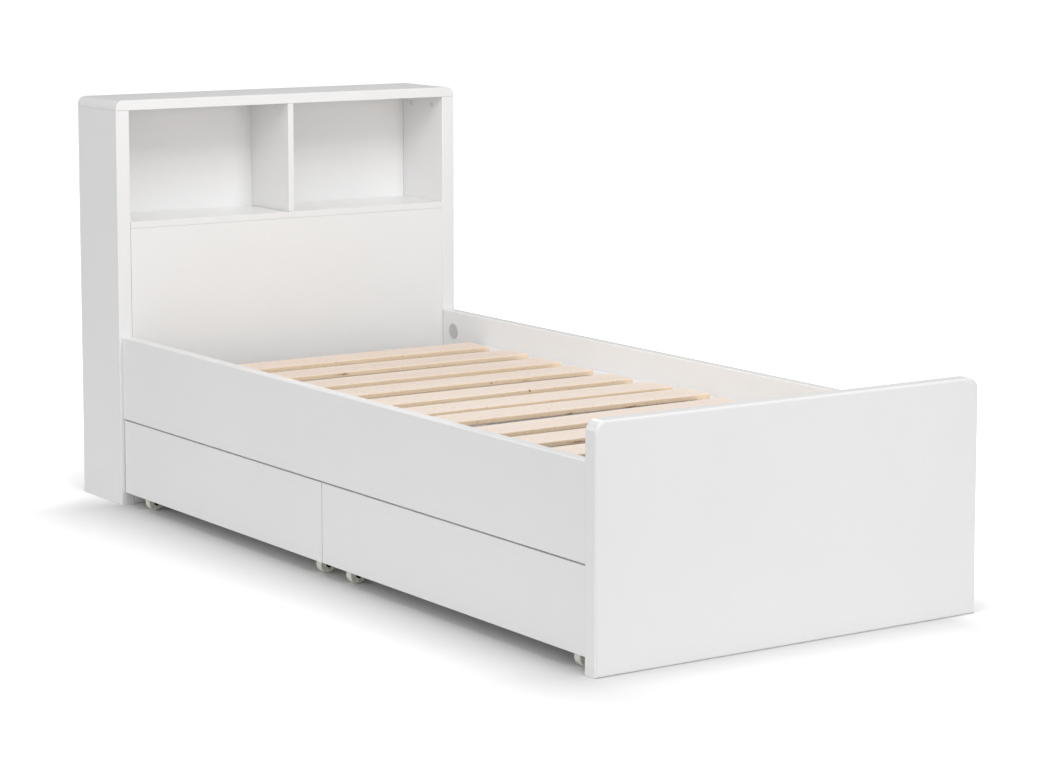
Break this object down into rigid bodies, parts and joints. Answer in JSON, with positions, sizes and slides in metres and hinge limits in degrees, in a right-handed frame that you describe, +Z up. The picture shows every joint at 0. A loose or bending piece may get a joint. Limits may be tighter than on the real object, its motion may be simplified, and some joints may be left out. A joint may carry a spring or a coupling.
{
  "type": "bed frame",
  "caption": "Single storage bed frame: bookcase headboard, plain footboard, side rails, pine slats, and roll-out drawers on castors under one long side.",
  "frame": {"origin": "on the floor, under the middle of the bed's bounding box", "axes": "+X along the bed from the head to the foot, +Y from the drawer side to the wall side, +Z up"},
  "size_m": [2.257, 0.98, 1.006],
  "materials": {
    "white_board": "satin white paint on board",
    "pine": "planed and bare",
    "drawer_board": "matt white foil on board",
    "castor_plastic": "moulded satin, dark grey",
    "wheel_plastic": "moulded satin",
    "axle_steel": "bright zinc",
    "cover_grey": "moulded matt",
    "screw_steel": "zinc plated"
  },
  "bodies": {
    "bed": {"headboard_upright_drawer_side": "white_board", "headboard_upright_wall_side": "white_board", "headboard_top_plank": "white_board", "headboard_shelf": "white_board", "headboard_divider": "white_board", "headboard_rear_panel": "white_board", "headboard_lower_panel": "white_board", "footboard": "white_board", "side_rail_drawer_side": "white_board", "side_rail_wall_side": "white_board", "slat_ledge_drawer_side": "white_board", "slat_ledge_wall_side": "white_board", "slat_01": "pine", "slat_02": "pine", "slat_03": "pine", "slat_04": "pine", "slat_05": "pine", "slat_06": "pine", "slat_07": "pine", "slat_08": "pine", "slat_09": "pine", "slat_10": "pine", "slat_11": "pine", "slat_12": "pine"},
    "head_drawer": {"head_drawer_front": "white_board", "head_drawer_back": "drawer_board", "head_drawer_side_left": "drawer_board", "head_drawer_side_right": "drawer_board", "head_drawer_base": "drawer_board", "head_drawer_castor_fork_front_left": "castor_plastic", "head_drawer_castor_fork_front_right": "castor_plastic", "head_drawer_castor_fork_back_left": "castor_plastic", "head_drawer_castor_fork_back_right": "castor_plastic", "head_drawer_axle_front_left": "axle_steel", "head_drawer_axle_front_right": "axle_steel", "head_drawer_axle_back_left": "axle_steel", "head_drawer_axle_back_right": "axle_steel"},
    "foot_drawer": {"foot_drawer_front": "white_board", "foot_drawer_back": "drawer_board", "foot_drawer_side_left": "drawer_board", "foot_drawer_side_right": "drawer_board", "foot_drawer_base": "drawer_board", "foot_drawer_castor_fork_front_left": "castor_plastic", "foot_drawer_castor_fork_front_right": "castor_plastic", "foot_drawer_castor_fork_back_left": "castor_plastic", "foot_drawer_castor_fork_back_right": "castor_plastic", "foot_drawer_axle_front_left": "axle_steel", "foot_drawer_axle_front_right": "axle_steel", "foot_drawer_axle_back_left": "axle_steel", "foot_drawer_axle_back_right": "axle_steel"},
    "head_drawer_wheel_front_left": {"head_drawer_wheel_front_left": "wheel_plastic"},
    "head_drawer_wheel_front_right": {"head_drawer_wheel_front_right": "wheel_plastic"},
    "head_drawer_wheel_back_left": {"head_drawer_wheel_back_left": "wheel_plastic"},
    "head_drawer_wheel_back_right": {"head_drawer_wheel_back_right": "wheel_plastic"},
    "foot_drawer_wheel_front_left": {"foot_drawer_wheel_front_left": "wheel_plastic"},
    "foot_drawer_wheel_front_right": {"foot_drawer_wheel_front_right": "wheel_plastic"},
    "foot_drawer_wheel_back_left": {"foot_drawer_wheel_back_left": "wheel_plastic"},
    "foot_drawer_wheel_back_right": {"foot_drawer_wheel_back_right": "wheel_plastic"}
  },
  "joints": [
    {"name": "head_drawer_pull", "type": "slide", "parent": "bed", "child": "head_drawer", "axis": [0, -1, 0], "range_m": [0, 0.7]},
    {"name": "foot_drawer_pull", "type": "slide", "parent": "bed", "child": "foot_drawer", "axis": [0, -1, 0], "range_m": [0, 0.7]},
    {"name": "head_drawer_wheel_front_left_roll", "type": "hinge", "parent": "head_drawer", "child": "head_drawer_wheel_front_left", "pos_m": [-0.822, -0.447, 0.02], "axis": [1, 0, 0], "continuous": true},
    {"name": "head_drawer_wheel_front_right_roll", "type": "hinge", "parent": "head_drawer", "child": "head_drawer_wheel_front_right", "pos_m": [0.02, -0.447, 0.02], "axis": [1, 0, 0], "continuous": true},
    {"name": "head_drawer_wheel_back_left_roll", "type": "hinge", "parent": "head_drawer", "child": "head_drawer_wheel_back_left", "pos_m": [-0.822, 0.299, 0.02], "axis": [1, 0, 0], "continuous": true},
    {"name": "head_drawer_wheel_back_right_roll", "type": "hinge", "parent": "head_drawer", "child": "head_drawer_wheel_back_right", "pos_m": [0.02, 0.299, 0.02], "axis": [1, 0, 0], "continuous": true},
    {"name": "foot_drawer_wheel_front_left_roll", "type": "hinge", "parent": "foot_drawer", "child": "foot_drawer_wheel_front_left", "pos_m": [0.151, -0.447, 0.02], "axis": [1, 0, 0], "continuous": true},
    {"name": "foot_drawer_wheel_front_right_roll", "type": "hinge", "parent": "foot_drawer", "child": "foot_drawer_wheel_front_right", "pos_m": [1.033, -0.447, 0.02], "axis": [1, 0, 0], "continuous": true},
    {"name": "foot_drawer_wheel_back_left_roll", "type": "hinge", "parent": "foot_drawer", "child": "foot_drawer_wheel_back_left", "pos_m": [0.151, 0.299, 0.02], "axis": [1, 0, 0], "continuous": true},
    {"name": "foot_drawer_wheel_back_right_roll", "type": "hinge", "parent": "foot_drawer", "child": "foot_drawer_wheel_back_right", "pos_m": [1.033, 0.299, 0.02], "axis": [1, 0, 0], "continuous": true}
  ],
  "couplings": [
    {"joint": "head_drawer_wheel_front_left_roll", "follows": "head_drawer_pull", "rad_per_m": 50},
    {"joint": "head_drawer_wheel_front_right_roll", "follows": "head_drawer_pull", "rad_per_m": 50},
    {"joint": "head_drawer_wheel_back_left_roll", "follows": "head_drawer_pull", "rad_per_m": 50},
    {"joint": "head_drawer_wheel_back_right_roll", "follows": "head_drawer_pull", "rad_per_m": 50},
    {"joint": "foot_drawer_wheel_front_left_roll", "follows": "foot_drawer_pull", "rad_per_m": 50},
    {"joint": "foot_drawer_wheel_front_right_roll", "follows": "foot_drawer_pull", "rad_per_m": 50},
    {"joint": "foot_drawer_wheel_back_left_roll", "follows": "foot_drawer_pull", "rad_per_m": 50},
    {"joint": "foot_drawer_wheel_back_right_roll", "follows": "foot_drawer_pull", "rad_per_m": 50}
  ]
}
